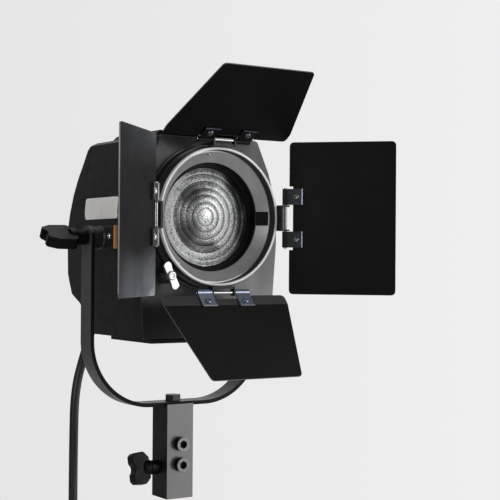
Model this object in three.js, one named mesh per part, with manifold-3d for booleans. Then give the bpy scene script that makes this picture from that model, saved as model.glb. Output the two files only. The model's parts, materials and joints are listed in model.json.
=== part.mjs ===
// A fresnel spotlight with four barn doors, in a flat-bar yoke on a stand bracket.
// Millimetres, +Z up. Origin at the mouth of the stand socket under the bracket; the lens faces -Y.
// The lamp is described in its own frame, whose origin is the centre of the barn door ring's front rim,
// with +Y towards the back; the group at the end lifts it into the part's frame.
import * as THREE from "three";
import { mergeVertices } from "three/addons/utils/BufferGeometryUtils.js";
import Module from "manifold-3d";

const wasm = await Module();
wasm.setup();

// ---- driving dimensions ----
const LIFT = [0, -111, 355]; // lamp frame in the part's frame
const RING_R = 84, RING_IN = 81, RING_D = 14, FLANGE_R = 87.5;
const HINGE_R = 92, HINGE_Y = -5.8, ROD_R = 2.1;
const SIDE_H = 189, SIDE_W = 137.4, LEAF_G = 4.9, LEAF_T = 1.6;
const TOP_BASE = 87.6, TOP_TIP = 62.2, TOP_L = 125, TOP_STRIP = 19;
const OPEN = { top: 37, right: 44, bottom: 51, left: 46 }; // degrees out from straight ahead
const CLIP_X = 26.5, CLIP_W = 20, CURL_R = 4, SCREW_Y = -14;
const LENS_R = 62, LENS_Y = 35;
const PIVOT = [111, -26]; // y, z
const YOKE_HALF = 124.5, YOKE_T = 5, YOKE_W = 28, YOKE_BOTTOM = -238, YOKE_R = 85;
const BRACKET = 38, BRACKET_WALL = 3.5, BRACKET_FOOT = -355;
const SPIGOT_R = 8.2, SPIGOT_DEPTH = 75, CLAMP_Z = -316;
const CORD_R = 6;

// ---- materials ----
const mat = (color, roughness, metalness) =>
  new THREE.MeshStandardMaterial({ color, roughness, metalness });
const M = {
  powder: mat(0x17181a, 0.55, 0.2),
  satin: mat(0x101113, 0.42, 0.2),
  ring: mat(0xb9bbbd, 0.35, 0.9),
  cone: mat(0x77797b, 0.5, 0.7),
  steel: mat(0xc4c6c9, 0.25, 1.0),
  clip: mat(0x2a2d33, 0.35, 0.8),
  zincClip: mat(0x66707c, 0.35, 0.8),
  bracket: mat(0x4a4c4f, 0.45, 0.6),
  plastic: mat(0x0c0c0d, 0.6, 0.0),
  rubber: mat(0x0e0e0f, 0.8, 0.0),
  glass: mat(0xe9eef0, 0.05, 0.0),
  mirror: mat(0xdfe2e4, 0.1, 1.0),
  ceramic: mat(0xdcd8cc, 0.7, 0.0),
  brass: mat(0xb08a3c, 0.4, 0.9),
};

// ---- solids ----
function solid(geometry) {
  let g = geometry.clone();
  for (const a of Object.keys(g.attributes)) if (a !== "position") g.deleteAttribute(a);
  g = mergeVertices(g, 1e-4);
  const keep = [];
  const ix = g.index.array;
  for (let i = 0; i < ix.length; i += 3) {
    const [a, b, c] = [ix[i], ix[i + 1], ix[i + 2]];
    if (a !== b && b !== c && a !== c) keep.push(a, b, c);
  }
  const make = (tri) =>
    new wasm.Manifold(
      new wasm.Mesh({ numProp: 3, vertProperties: g.attributes.position.array, triVerts: new Uint32Array(tri) }),
    );
  const s = make(keep);
  if (s.volume() >= 0) return s;
  for (let i = 0; i < keep.length; i += 3) [keep[i + 1], keep[i + 2]] = [keep[i + 2], keep[i + 1]];
  return make(keep);
}
const moved = (g, m) => g.clone().applyMatrix4(m);
const T = (x, y, z) => new THREE.Matrix4().makeTranslation(x, y, z);
const RX = (a) => new THREE.Matrix4().makeRotationX(a);
const RY = (a) => new THREE.Matrix4().makeRotationY(a);
const RZ = (a) => new THREE.Matrix4().makeRotationZ(a);
const rad = (d) => (d * Math.PI) / 180;

// box between two corners
function box(x0, x1, y0, y1, z0, z1) {
  return solid(moved(new THREE.BoxGeometry(x1 - x0, y1 - y0, z1 - z0), T((x0 + x1) / 2, (y0 + y1) / 2, (z0 + z1) / 2)));
}
// round bar along an axis from a to b, centred at c (the other two coordinates, in X, Y, Z order)
function bar(axis, r, a, b, c, n = 16, r2 = r) {
  const g = new THREE.CylinderGeometry(r2, r, b - a, n); // along +Y, r at the low end
  const mid = (a + b) / 2;
  const spin = RY(Math.PI / n);
  if (axis === "y") return solid(moved(moved(g, spin), T(c[0], mid, c[1])));
  if (axis === "x") return solid(moved(moved(moved(g, spin), RZ(-Math.PI / 2)), T(mid, c[0], c[1])));
  return solid(moved(moved(moved(g, spin), RX(Math.PI / 2)), T(c[0], c[1], mid)));
}
// outline extruded along an axis from a to b; the outline is in the other two coordinates, in X, Y, Z order
function plate(axis, pts, a, b, holes = []) {
  const shape = new THREE.Shape(pts.map((p) => new THREE.Vector2(...p)));
  for (const h of holes) shape.holes.push(new THREE.Path(h.map((p) => new THREE.Vector2(...p))));
  const g = new THREE.ExtrudeGeometry(shape, { depth: b - a, bevelEnabled: false });
  const m = new THREE.Matrix4();
  if (axis === "z") m.makeTranslation(0, 0, a);
  if (axis === "x") m.set(0, 0, 1, a, 1, 0, 0, 0, 0, 1, 0, 0, 0, 0, 0, 1);
  if (axis === "y") m.set(1, 0, 0, 0, 0, 0, -1, b, 0, 1, 0, 0, 0, 0, 0, 1);
  return solid(moved(g, m));
}
// profile of [radius, y] pairs turned about the Y axis
function turned(profile, n = 48) {
  const pts = profile.map((p) => new THREE.Vector2(...p));
  if (profile[0][0] > 1e-6 || profile.at(-1)[0] > 1e-6) pts.push(pts[0].clone());
  return solid(moved(new THREE.LatheGeometry(pts, n), RY(Math.PI / n)));
}
const circle = (r, n, cx = 0, cy = 0) =>
  Array.from({ length: n }, (_, i) => {
    const a = (2 * Math.PI * (i + 0.5)) / n;
    return [cx + r * Math.cos(a), cy + r * Math.sin(a)];
  });
// rounded polygon
function rounded(pts, r, n = 4) {
  const out = [];
  pts.forEach((p, i) => {
    const a = pts[(i + pts.length - 1) % pts.length], b = pts[(i + 1) % pts.length];
    const rr = Array.isArray(r) ? r[i] : r;
    if (!rr) return out.push(p);
    const u = [a[0] - p[0], a[1] - p[1]], v = [b[0] - p[0], b[1] - p[1]];
    const lu = Math.hypot(...u), lv = Math.hypot(...v);
    const half = Math.acos((u[0] * v[0] + u[1] * v[1]) / lu / lv) / 2;
    const d = Math.min(rr / Math.tan(half), lu / 2.01, lv / 2.01);
    const p0 = [p[0] + (u[0] / lu) * d, p[1] + (u[1] / lu) * d];
    const p1 = [p[0] + (v[0] / lv) * d, p[1] + (v[1] / lv) * d];
    for (let k = 0; k <= n; k++) {
      const t = k / n, s = 1 - t;
      out.push([s * s * p0[0] + 2 * s * t * p[0] + t * t * p1[0], s * s * p0[1] + 2 * s * t * p[1] + t * t * p1[1]]);
    }
  });
  return out;
}
// loft through closed outlines of equal count, each a list of [x, z] at its own y
function loft(sections) {
  const n = sections[0].pts.length, pos = [], idx = [];
  for (const s of sections) for (const [x, z] of s.pts) pos.push(x, s.y, z);
  for (let k = 0; k + 1 < sections.length; k++)
    for (let i = 0; i < n; i++) {
      const a = k * n + i, b = k * n + ((i + 1) % n);
      idx.push(a, b, a + n, b, b + n, a + n);
    }
  for (const [k, flip] of [[0, true], [sections.length - 1, false]]) {
    const c = pos.length / 3;
    pos.push(0, sections[k].y, -20);
    for (let i = 0; i < n; i++) {
      const a = k * n + i, b = k * n + ((i + 1) % n);
      flip ? idx.push(c, b, a) : idx.push(c, a, b);
    }
  }
  const g = new THREE.BufferGeometry();
  g.setAttribute("position", new THREE.Float32BufferAttribute(pos, 3));
  g.setIndex(idx);
  return solid(g);
}
function add(group, name, s, material) {
  const m = s.getMesh();
  const g = new THREE.BufferGeometry();
  const n = m.numProp, v = new Float32Array(m.numVert * 3);
  for (let i = 0; i < m.numVert; i++) v.set(m.vertProperties.subarray(i * n, i * n + 3), i * 3);
  g.setAttribute("position", new THREE.BufferAttribute(v, 3));
  g.setIndex(new THREE.BufferAttribute(m.triVerts, 1));
  g.computeVertexNormals();
  const mesh = new THREE.Mesh(g, material);
  mesh.name = name;
  group.add(mesh);
  return mesh;
}

const lamp = new THREE.Group();
lamp.position.set(...LIFT);
const head = new THREE.Group(), ring = new THREE.Group(), stand = new THREE.Group();
lamp.add(head, ring, stand);

// ================= head =================
const FRONT = [[66, 97], [70, 95.5], [78.5, 76], [87, 57], [95, 30], [99, 15], [99.5, -31], [96, -80], [91, -147.6]];
const BODY = [[78, 97], [85, 93], [90, 69], [94, 49], [97, 30], [99, 6], [100, -42], [98, -74], [91, -147.6]];
const both = (h) => [...h, ...h.slice().reverse().map(([x, z]) => [-x, z])];
const inset = (pts, d) => pts.map(([x, z]) => [x - Math.sign(x) * d, z > 60 ? z - (z > 90 ? d : 0) : z < -140 ? z + d : z]);

// front plate with the lens opening
add(head, "front_plate",
  plate("y", both(FRONT), 25, 28, [circle(67.4, 32)])
    .subtract(bar("y", 3.5, 20, 30, [-65, -71.5], 10)),
  M.powder);

// folded housing: open tube that flares behind the front plate
add(head, "housing",
  loft([{ y: 28.4, pts: both(FRONT) }, { y: 45, pts: both(BODY) }, { y: 176, pts: both(BODY) }]).subtract(
    loft([{ y: 20, pts: inset(both(FRONT), 2.2) }, { y: 28.4, pts: inset(both(FRONT), 2.2) },
      { y: 45, pts: inset(both(BODY), 2.2) }, { y: 190, pts: inset(both(BODY), 2.2) }]))
    .subtract(bar("x", 6.6, -110, 110, PIVOT, 12)),
  M.powder);

// rear cover: cast shell with a faceted back
const REAR = [[160, 97], [176.4, 97], [187, 88], [192, 71], [198, 55], [205, 32], [211, 9], [216, -12], [223, -48],
  [216, -81], [211, -98], [201, -103.5], [190, -109], [180, -118], [176.4, -147.6], [160, -147.6]];
const rearOuter = plate("y", both(BODY), 176.4, 232)
  .intersect(plate("x", REAR, -110, 110))
  .intersect(plate("z", [[-101, 170], [101, 170], [101, 214], [94, 224], [-94, 224], [-101, 214]], -160, 110));
const REAR_IN = REAR.map(([y, z]) => [y - 3, z > 90 ? z - 2.5 : z < -140 ? z + 2.5 : z]);
const rearInner = plate("y", inset(both(BODY), 2.5), 170, 232)
  .intersect(plate("x", REAR_IN, -110, 110))
  .intersect(plate("z", [[-98, 165], [98, 165], [98, 211], [91.5, 221], [-91.5, 221], [-98, 211]], -160, 110));
const glandDir = [0, 0.54, -0.8417];
const glandAt = [-62, 191, -104.5];
const glandTurn = RX(Math.atan2(glandDir[2], glandDir[1]));
const alongGland = (g) => solid(moved(moved(g, glandTurn), T(...glandAt)));
add(head, "rear_cover",
  rearOuter.subtract(rearInner)
    .subtract(bar("y", 5.2, 170, 240, [0, -60], 12))
    .subtract(alongGland(new THREE.CylinderGeometry(8.4, 8.4, 50, 12))),
  M.powder);

// vent cover: a low hat over the top vents, open at the front and the back
add(head, "vent_cover",
  plate("y", [[-70, 97.4], [-70, 99], [-65, 104], [65, 104], [70, 99], [70, 97.4], [68, 97.4], [68, 98.4], [64.2, 102.2], [-64.2, 102.2], [-68, 98.4], [-68, 97.4]].map(([x, z]) => [x, z]), 35, 147)
    .add(box(-2, 2, 60, 120, 97.4, 102.8)),
  M.powder);

// base plate
add(head, "base_plate", box(-80, 80, 26, 130, -153.2, -148), M.powder);

// pivot plates with their bosses, and the pins through them
for (const [side, s] of [["left", -1], ["right", 1]]) {
  const outline = rounded([[79, -41], [143, -41], [143, -11], [79, -11]], 2, 2);
  const p = plate("x", outline, Math.min(s * 100.6, s * 105.4), Math.max(s * 100.6, s * 105.4))
    .add(bar("x", 13, Math.min(s * 105, s * 119), Math.max(s * 105, s * 119), PIVOT, 20))
    .subtract(bar("x", 6.5, -130, 130, PIVOT, 12));
  add(head, "pivot_plate_" + side, p, M.satin);
}
add(head, "tilt_stud",
  bar("x", 6, -137, -95.5, PIVOT, 16).add(bar("x", 11, -97, -88, PIVOT, 6)), M.steel);
add(head, "pivot_bolt",
  bar("x", 6, 88, 126, PIVOT, 16).add(bar("x", 10.95, 125, 133, PIVOT, 6)), M.steel);

// lens seat, lens and its retaining ring
add(head, "lens_seat",
  turned([[60.4, 31.5], [60.4, 34.5], [62.4, 34.5], [62.4, 46], [64.5, 46], [64.5, 31], [73, 31], [73, 28.6], [67, 28.6], [67, 25], [64.5, 25]], 32),
  M.satin);
{
  // plano-convex lens cut back in rings, steps facing forward
  const steps = 5, prof = [[0, 43]];
  prof.push([LENS_R, 43], [LENS_R, LENS_Y + 0.1]);
  for (let k = steps; k >= 1; k--) {
    const r1 = (60 * k) / steps, r0 = (60 * (k - 1)) / steps;
    if (k === steps) prof.push([r1, LENS_Y + 0.1]);
    prof.push([r1, LENS_Y + 1.6 + 0.1], [r0 + 0.6, LENS_Y + 0.2]);
  }
  prof.push([0, LENS_Y - 0.1]);
  add(head, "lens", turned(prof.reverse(), 32), M.glass);
}
add(head, "lens_retainer", turned([[57, 43.5], [57, 45.5], [62, 45.5], [62, 43.5]], 32), M.steel);

// carrier ring on the front plate: three ears reach over the barn door ring's flange
{
  let c = turned([[68, 22.6], [68, 24.7], [91, 24.7], [91, 22.6]], 48);
  c = c.subtract(bar("y", 16, 20, 28, [-65, -71.5], 12));
  for (const a of [0, 90, 180]) {
    const up = box(88.4, 91, 11.4, 23.5, -6.5, 6.5), hook = box(85.4, 91, 11.4, 13.6, -6.5, 6.5);
    c = c.add(up.rotate([0, -a, 0])).add(hook.rotate([0, -a, 0]));
  }
  add(head, "ring_carrier", c, M.satin);
}
// latch plate that the wing screw presses on the flange
{
  const dir = Math.atan2(-71.5, -65);
  const l = box(85.4, 104, 11.2, 13.6, -6.5, 6.5).add(box(101.6, 104, 11.2, 24.6, -6.5, 6.5))
    .rotate([0, (-dir * 180) / Math.PI, 0]);
  add(head, "ring_latch", l.subtract(bar("y", 3.5, 5, 30, [-65, -71.5], 10)), M.satin);
}

// cord gland: hexagon base and tapering sleeve
{
  const g = alongGland(moved(new THREE.CylinderGeometry(12, 12, 6, 6), T(0, 8, 0)))
    .add(alongGland(moved(new THREE.CylinderGeometry(8.3, 10.4, 30, 14), T(0, 24, 0))))
    .add(alongGland(moved(new THREE.CylinderGeometry(7.9, 7.9, 14, 14), T(0, -1, 0))));
  add(head, "cord_gland", g, M.rubber);
}

// ---- inside: guide rods, lead screw, carriage with socket, lamp and reflector ----
add(head, "guide_rod_left", bar("y", 4, 50, 212, [-26, -60], 12), M.steel);
add(head, "guide_rod_right", bar("y", 4, 50, 212, [26, -60], 12), M.steel);
{
  const carriage = new THREE.Group(), focus = new THREE.Group();
  lamp.add(carriage, focus);
  const block = box(-36, 36, 88, 128, -70, -51)
    .subtract(bar("y", 4.5, 80, 140, [-26, -60], 12))
    .subtract(bar("y", 4.5, 80, 140, [26, -60], 12))
    .subtract(bar("y", 3.6, 80, 140, [0, -60], 12))
    .add(box(-10, 10, 122, 128, -52, -44));
  add(carriage, "carriage", block, M.bracket);
  add(carriage, "lamp_socket", box(-15, 15, 92, 116, -50.6, -32), M.ceramic);
  add(carriage, "lamp",
    bar("z", 9, -24, 22, [0, 104], 16).add(bar("z", 9, 21.9, 28, [0, 104], 16, 4)).add(box(-7, 7, 101, 107, -31.6, -23)),
    M.glass);
  {
    // spherical mirror behind the lamp
    const R = 46, prof = [];
    for (let k = 0; k <= 5; k++) { const a = (k / 5) * rad(62); prof.push([R * Math.sin(a), 104 + 0 + R * Math.cos(a) - 6]); }
    for (let k = 5; k >= 0; k--) { const a = (k / 5) * rad(62); prof.push([(R + 1.5) * Math.sin(a), 104 + (R + 1.5) * Math.cos(a) - 6]); }
    prof[0][0] = 0; prof[prof.length - 1][0] = 0;
    add(carriage, "reflector", turned(prof, 24).add(box(-6, 6, 120.8, 123.6, -43.6, -38.5)), M.mirror);
  }
  add(focus, "lead_screw", bar("y", 3, 52, 219, [0, -60], 12), M.steel);
  {
    let k = bar("y", 17, 226, 243, [0, -60], 24, 15.5).add(bar("y", 9, 224.6, 227, [0, -60], 20));
    for (let i = 0; i < 8; i++) {
      const a = (i * Math.PI) / 4;
      k = k.subtract(bar("y", 3, 229, 250, [18.5 * Math.cos(a), -60 + 18.5 * Math.sin(a)], 8));
    }
    add(focus, "focus_knob", k.add(bar("y", 4.6, 219.3, 226, [0, -60], 12)), M.plastic);
  }
}

// tilt knob: stem over the stud and two wings
function wingKnob(reach, stem, neck, tip, run, drop) {
  // axis along -X from x = 0; wings in the local Y direction
  let k = bar("x", stem, -15, 0, [0, 0], 20).add(bar("x", 11.5, -24, -14, [0, 0], 16, 10.5));
  const wing = plate("z", rounded([[-16, -13], [-neck, -reach], [run - tip, -reach + 1], [-tip, -reach + drop], [-tip, reach - drop], [run - tip, reach - 1], [-neck, reach], [-16, 13]], 3, 2), -7, 7);
  const dip = plate("z", circle(9, 12, -tip - 5.5, 0), -9, 9);
  return k.add(wing.subtract(dip));
}
{
  const g = new THREE.Group();
  g.position.set(-YOKE_HALF - 0.4, ...PIVOT);
  lamp.add(g);
  const s = wingKnob(20, 9.35, 21, 56, 12, 7).rotate([28, 0, 0]);
  add(g, "tilt_knob", s.subtract(bar("x", 6.4, -14, 2, [0, 0], 12)), M.plastic);
}

// ================= barn door ring =================
add(ring, "barndoor_ring",
  turned([[RING_IN, 0], [RING_R, 0], [RING_R, RING_D], [FLANGE_R, RING_D], [FLANGE_R, RING_D + 2], [RING_IN, RING_D + 2]], 48)
    .subtract(bar("x", 2.2, 78, 90, [8, 0], 8)),
  M.ring);
add(ring, "ring_cone",
  turned([[80.6, 11], [80.6, 14.4], [79.4, 14.4], [68.6, 22.2], [66.7, 22.2], [66.7, 21.5], [78.7, 11.6], [79.2, 11]], 36), M.cone);
{
  // black clip that lies along the inside of the cone
  const s = plate("z", [[77.4, 11.8], [76.4, 10.6], [65, 20.1], [66, 21.3]], -9, 8);
  add(ring, "filter_clip", s, M.satin);
}

const DOORS = [["top", 0], ["right", 90], ["bottom", 180], ["left", 270]];
for (const [name, turn] of DOORS) {
  const door = new THREE.Group();
  door.rotation.y = rad(turn);
  ring.add(door);
  // bracket on the ring, with two ears that hold the rod
  let b = box(-16, 16, HINGE_Y - 2.7, 3, 84.6, 87.4);
  for (const s of [-1, 1])
    b = b.add(box(Math.min(s * 14, s * 16), Math.max(s * 14, s * 16), HINGE_Y - 3.6, HINGE_Y + 4.2, 85, 96))
  b = b.subtract(bar("x", ROD_R + 0.4, -20, 20, [HINGE_Y, HINGE_R], 12));
  add(door, "hinge_bracket_" + name, b, M.satin);
  const hinge = new THREE.Group();
  hinge.position.set(0, HINGE_Y, HINGE_R);
  door.add(hinge);
  add(hinge, "hinge_rod_" + name, bar("x", ROD_R, -38, 38, [0, 0], 12), M.steel);

  const leaf = new THREE.Group();
  leaf.rotation.x = -rad(OPEN[name]);
  hinge.add(leaf);
  const side = name === "left" || name === "right";
  const N = 39.5, D = -9.6, G = -LEAF_G;
  const outline = side
    ? [[-SIDE_H / 2, -SIDE_W], [SIDE_H / 2, -SIDE_W], [SIDE_H / 2, G], [N, G], [N, D], [-N, D], [-N, G], [-SIDE_H / 2, G]]
    : [[-TOP_TIP, -TOP_L], [TOP_TIP, -TOP_L], [TOP_BASE, -TOP_STRIP], [TOP_BASE, G], [N, G], [N, D], [-N, D], [-N, G], [-TOP_BASE, G], [-TOP_BASE, -TOP_STRIP]];
  const r = side ? [6, 6, 6, 0, 0, 0, 0, 6] : [6, 6, 4, 6, 0, 0, 0, 0, 6, 4];
  let sheet = plate("z", rounded(outline, r, 3), -LEAF_T / 2, LEAF_T / 2);
  for (const s of [-1, 1]) sheet = sheet.subtract(bar("z", 2.5, -3, 3, [s * CLIP_X, SCREW_Y], 8));
  add(leaf, "leaf_" + name, sheet, M.satin);
  for (const [side2, s] of [["a", -1], ["b", 1]]) {
    const x0 = s * CLIP_X - CLIP_W / 2, x1 = x0 + CLIP_W;
    let c = bar("x", CURL_R, x0, x1, [0, 0], 12)
      .add(box(x0, x1, -22.4, -1, -2.6, -1.2))
      .add(box(x0, x1, -22.4, -21, -3.9, -1.2))
      .subtract(bar("x", ROD_R + 0.4, x0 - 1, x1 + 1, [0, 0], 12));
    c = c.add(bar("z", 4, -5, -2.4, [s * CLIP_X, SCREW_Y], 12, 4))
      .add(bar("z", 2, -3, 4.2, [s * CLIP_X, SCREW_Y], 8))
      .add(bar("z", 3.8, 1.3, 4, [s * CLIP_X, SCREW_Y], 6));
    add(leaf, "hinge_clip_" + name + "_" + side2, c, name === "bottom" ? M.zincClip : M.clip);
  }
}

// wing screw that holds the latch
{
  const g = new THREE.Group();
  g.position.set(-65, 4, -71.5);
  lamp.add(g);
  const lobe = (s) =>
    plate("y", [[2, -4.2], [8, -4.8], [13.5, -6.2], [16.8, -4.2], [17.5, 0], [15.5, 4.2], [9, 4.4], [2, 4.2]].map(([x, z]) => [s * x, s * z]), -0.2, 3.4);
  const w = bar("y", 5.6, -2.6, 6.8, [0, 0], 14).add(lobe(1)).add(lobe(-1)).add(bar("y", 3, 5, 27, [0, 0], 10));
  add(g, "wing_screw", w.rotate([0, 62, 0]), M.steel);
}

// ================= yoke and stand bracket =================
{
  // outer line of the bar from the left top, round the bottom, to the right top
  const arc = (half, r, bottom) => {
    const pts = [[-half, PIVOT[1] + 15]];
    for (let k = 0; k <= 9; k++) {
      const a = Math.PI + (k / 9) * (Math.PI / 2);
      pts.push([-half + r + r * Math.cos(a), bottom + r + r * Math.sin(a)]);
    }
    for (let k = 0; k <= 9; k++) {
      const a = 1.5 * Math.PI + (k / 9) * (Math.PI / 2);
      pts.push([half - r + r * Math.cos(a), bottom + r + r * Math.sin(a)]);
    }
    pts.push([half, PIVOT[1] + 15]);
    return pts;
  };
  const outer = arc(YOKE_HALF, YOKE_R, YOKE_BOTTOM);
  const inner = arc(YOKE_HALF - YOKE_T, YOKE_R - YOKE_T, YOKE_BOTTOM + YOKE_T);
  const w = YOKE_W / 2, y0 = PIVOT[0];
  const top = [[y0 - w, -260], [y0 + w, -260]];
  for (let k = 0; k <= 8; k++) {
    const a = (k / 8) * Math.PI;
    top.push([y0 + w * Math.cos(a), PIVOT[1] + 0.5 + w * Math.sin(a)]);
  }
  const u = plate("y", [...outer, ...inner.reverse()], y0 - w, y0 + w)
    .intersect(plate("x", top, -140, 140))
    .subtract(bar("x", 6.5, -140, 140, PIVOT, 16))
    .subtract(bar("z", 6.5, -250, -220, [0, y0], 16));
  add(stand, "yoke", u, M.powder);

  const h = BRACKET / 2, i = h - BRACKET_WALL, zt = YOKE_BOTTOM - 0.4;
  let br = box(-h, h, y0 - h, y0 + h, BRACKET_FOOT, zt)
    .subtract(box(-i, i, y0 - i, y0 + i, BRACKET_FOOT - 1, zt - 5))
    .add(box(-h, h, y0 - h, y0 - w - 0.4, zt - 0.5, zt + 3))
    .add(box(-h, h, y0 + w + 0.4, y0 + h, zt - 0.5, zt + 3))
    .subtract(bar("z", 6.5, -260, -230, [0, y0], 16))
    .subtract(bar("x", 5.6, -30, 0, [y0, CLAMP_Z], 12));
  for (const z of [-286, -312]) br = br.subtract(bar("y", 6.4, y0 - 30, y0 - 10, [0, z], 12));
  add(stand, "stand_bracket", br, M.bracket);

  // socket block for the stand spigot
  const j = i - 0.4;
  const rc = box(-j, j, y0 - j, y0 + j, BRACKET_FOOT, -268)
    .subtract(bar("z", SPIGOT_R, BRACKET_FOOT - 1, BRACKET_FOOT + SPIGOT_DEPTH, [0, y0], 16))
    .subtract(bar("x", 5.6, -30, 0, [y0, CLAMP_Z], 8));
  add(stand, "stand_receiver", rc, M.clip);

  add(stand, "yoke_bolt",
    bar("z", 6, -258, -226, [0, y0], 16).add(bar("z", 10.95, -232.6, -225, [0, y0], 6)), M.satin);
  add(stand, "yoke_nut",
    bar("z", 10.6, -253.5, -243.9, [0, y0], 6).subtract(bar("z", 6.4, -260, -240, [0, y0], 16)), M.steel);
  for (const [n, z] of [["upper", -286], ["lower", -312]])
    add(stand, "cap_screw_" + n,
      bar("y", 9, y0 - h - 9, y0 - h - 0.4, [0, z], 20)
        .add(bar("y", 6, y0 - h - 1, y0 - j - 0.4, [0, z], 12))
        .subtract(bar("y", 5.4, y0 - h - 12, y0 - h - 4, [0, z], 6)),
      M.clip);

  const feed = new THREE.Group();
  feed.position.set(0, y0, CLAMP_Z);
  stand.add(feed);
  add(feed, "clamp_screw", bar("x", 5, -34, -8.8, [0, 0], 14), M.steel);
  const kn = new THREE.Group();
  kn.position.set(-h - 1.2, y0, CLAMP_Z);
  stand.add(kn);
  add(kn, "clamp_knob", wingKnob(20.5, 9, 23, 40, 3.5, 5).rotate([75, 0, 0]).subtract(bar("x", 5.3, -14.2, 2, [0, 0], 12)), M.plastic);
}

// ================= mains cord =================
{
  const at = [[-62, 214.4, -137], [-62.3, 219.5, -145], [-63, 225.5, -157], [-64.5, 232, -173], [-67.5, 237, -191], [-71.5, 239.6, -210],
    [-74.8, 240, -230], [-76.5, 240, -250], [-77, 240, -280], [-77, 240, -320], [-77, 240, -355], [-77, 240.3, -380], [-77, 243.5, -399], [-77, 252, -412.5], [-77, 263, -421], [-77, 273, -426.8]];
  const path = new THREE.CatmullRomCurve3(at.map((p) => new THREE.Vector3(...p)), false, "centripetal");
  const shape = new THREE.Shape(circle(CORD_R, 10).map((p) => new THREE.Vector2(...p)));
  const lead = solid(new THREE.ExtrudeGeometry(shape, { steps: 30, bevelEnabled: false, extrudePath: path }));
  // the coil: turns side by side, its axis along X, hung from the lead
  const C = [240, -484], R = 66;
  const wound = (g) => moved(moved(g, RZ(-Math.PI / 2)), T(0, ...C));
  const hoop = (grow) => {
    const a = R - 7.2 - grow, b = R + 7.2 + grow, x0 = -84 - grow, x1 = -33 + grow;
    return solid(wound(new THREE.LatheGeometry([[a, x0], [b, x0], [b, x1], [a, x1], [a, x0]].map((p) => new THREE.Vector2(...p)), 36)));
  };
  add(stand, "cord_coil", hoop(0).add(bar("z", CORD_R + 0.4, C[1] - 48, C[1] - 4, [-39.5, C[0] + R], 12)), M.rubber);
  const parts = lead.subtract(hoop(0.4)).decompose().sort((p, q) => q.volume() - p.volume());
  add(stand, "cord_lead", parts[0], M.rubber);
  // plug below the coil's rear side, where the end hangs straight down
  const px = -39.5, py = C[0] + R, pz = C[1] - 48.4;
  const body = plate("y", rounded([[px - 20, pz - 62], [px + 20, pz - 62], [px + 22, pz - 40], [px + 12, pz - 22], [px - 12, pz - 22], [px - 22, pz - 40]], 3, 2), py - 14, py + 14);
  const boot = bar("z", 10, pz - 26, pz, [px, py], 12, 7.2);
  let pins = bar("z", 2.4, pz - 81, pz - 61, [px - 9.5, py], 10).add(bar("z", 2.4, pz - 81, pz - 61, [px + 9.5, py], 10));
  add(stand, "plug", body.add(boot).add(pins), M.rubber);
}

export default lamp;
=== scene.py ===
import bpy, bmesh, json, math, random
from math import sin, cos, pi, radians, hypot, atan2
from mathutils import Vector, Matrix
from mathutils.geometry import tessellate_polygon


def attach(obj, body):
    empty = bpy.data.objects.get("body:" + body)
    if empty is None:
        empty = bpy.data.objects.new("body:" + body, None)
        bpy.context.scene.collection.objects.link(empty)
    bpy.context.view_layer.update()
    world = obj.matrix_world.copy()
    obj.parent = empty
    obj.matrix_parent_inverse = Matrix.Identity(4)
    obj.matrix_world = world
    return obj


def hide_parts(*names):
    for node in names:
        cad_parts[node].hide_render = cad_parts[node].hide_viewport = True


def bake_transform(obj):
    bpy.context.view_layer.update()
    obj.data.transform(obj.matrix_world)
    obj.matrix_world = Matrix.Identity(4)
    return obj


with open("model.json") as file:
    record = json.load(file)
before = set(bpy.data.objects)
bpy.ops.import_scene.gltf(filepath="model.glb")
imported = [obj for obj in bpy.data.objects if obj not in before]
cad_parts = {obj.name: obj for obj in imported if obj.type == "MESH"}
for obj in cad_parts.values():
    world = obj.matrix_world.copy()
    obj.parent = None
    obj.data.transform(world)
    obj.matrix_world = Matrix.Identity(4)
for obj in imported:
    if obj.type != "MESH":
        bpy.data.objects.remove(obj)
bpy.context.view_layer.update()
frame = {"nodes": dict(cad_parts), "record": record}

NODES = frame["nodes"]
MM = 0.001

# ------------------------------------------------------------------ frame
# Shapes are described in the lamp's own millimetres (origin at the centre of the
# barn door ring's front rim, +Y back, +Z up) and lifted into the row frame.
LIFT = Vector((0, -111, 355))


def P(x, y, z):
    return (Vector((x, y, z)) + LIFT) * MM


# ------------------------------------------------------------------ camera
scene = bpy.context.scene
cam_data = bpy.data.cameras.new("camera")
cam_data.sensor_width = 36.0
cam_data.lens = 91.37
cam_data.clip_start, cam_data.clip_end = 0.02, 60
cam = bpy.data.objects.new("camera", cam_data)
scene.collection.objects.link(cam)
_r, _u, _f = Vector((0.83368, -0.55220, 0.00736)), Vector((-0.01081, -0.00300, 0.99994)), Vector((0.55214, 0.83371, 0.00847))
cam.matrix_world = Matrix((
    (_r.x, _u.x, -_f.x, -0.81746), (_r.y, _u.y, -_f.y, -1.41057), (_r.z, _u.z, -_f.z, 0.30175), (0, 0, 0, 1)))
scene.camera = cam
scene.view_settings.view_transform = "Standard"
scene.view_settings.look = "None"


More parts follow.
